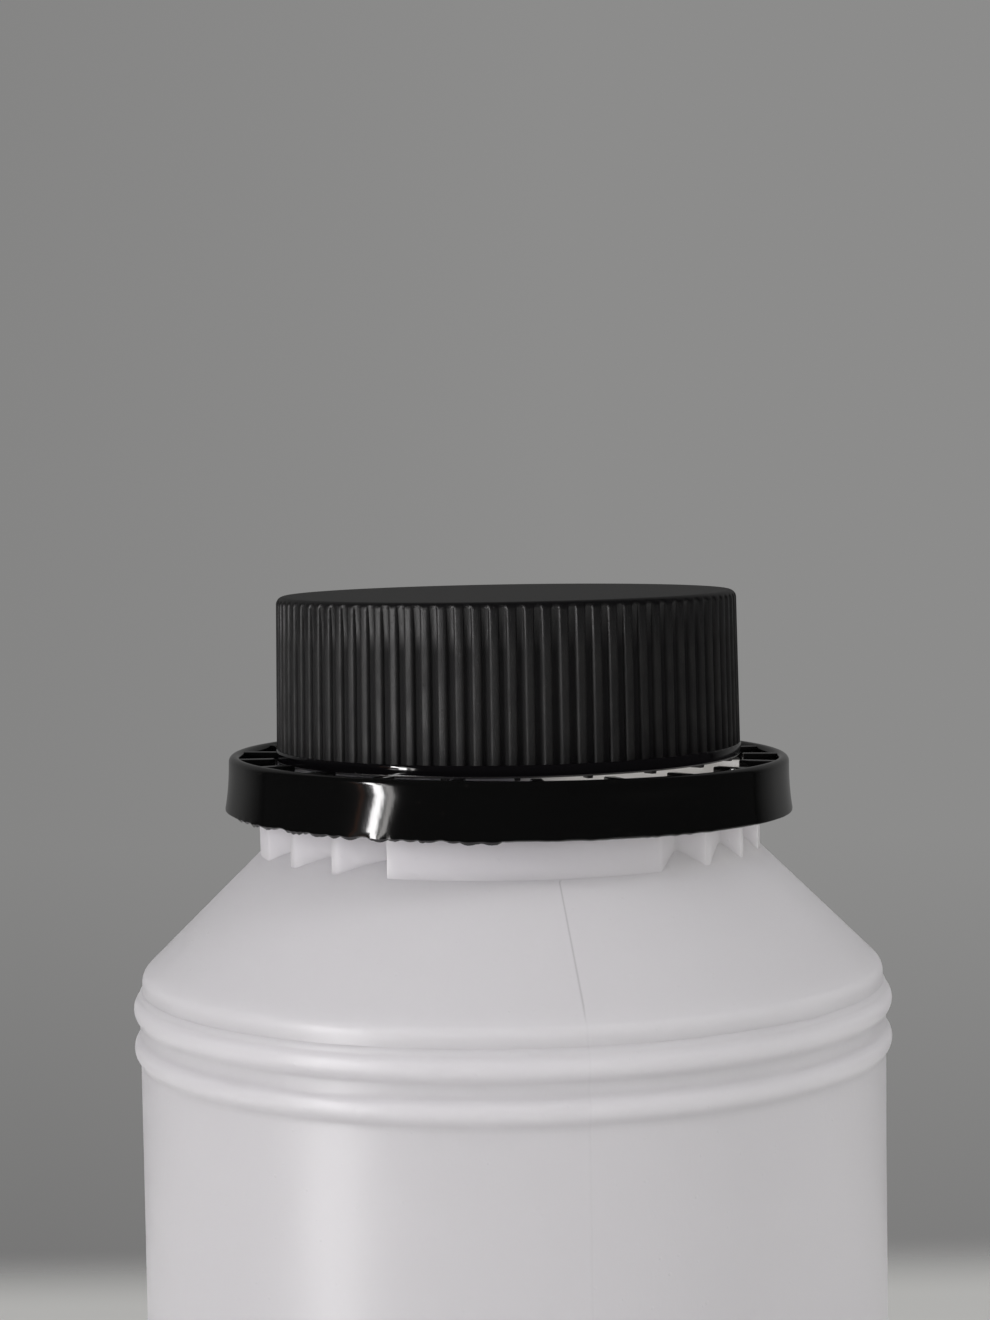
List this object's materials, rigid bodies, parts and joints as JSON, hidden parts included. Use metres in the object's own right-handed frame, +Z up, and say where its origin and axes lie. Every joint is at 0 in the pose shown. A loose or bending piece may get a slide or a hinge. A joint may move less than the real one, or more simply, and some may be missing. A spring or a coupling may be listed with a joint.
{
  "type": "wide-neck plastic bottle",
  "caption": "Round translucent wide-neck bottle with a cone shoulder, bead rings, a ribbed black screw cap and a snapped black tamper ring.",
  "frame": {"origin": "centre of the bottle's base, on the surface it stands on", "axes": "+Z up along the bottle's axis, -Y towards the front as pictured, +X to its right"},
  "size_m": [0.0948, 0.0948, 0.195],
  "materials": {
    "bottle_plastic": "translucent unpigmented blow-moulded plastic with a soft sheen",
    "ring_plastic": "glossy black moulded plastic",
    "cap_plastic": "satin black moulded plastic, dusty and scuffed on the ribs",
    "seal_foam": "white foam sheet"
  },
  "bodies": {
    "bottle_body": {"bottle": "bottle_plastic", "tamper_ring": "ring_plastic"},
    "seal_body": {"seal_liner": "seal_foam"},
    "cap_body": {"screw_cap": "cap_plastic"}
  },
  "joints": [
    {"name": "cap_lift", "type": "slide", "parent": "bottle_body", "child": "seal_body", "axis": [0, 0, 1], "range_m": [0, 0.024]},
    {"name": "cap_turn", "type": "hinge", "parent": "seal_body", "child": "cap_body", "pos_m": [0, 0, 0.1931], "axis": [0, 0, 1], "range_deg": [0, 1440]}
  ],
  "couplings": [
    {"joint": "cap_lift", "follows": "cap_turn", "m_per_rad": 0.00095493}
  ]
}
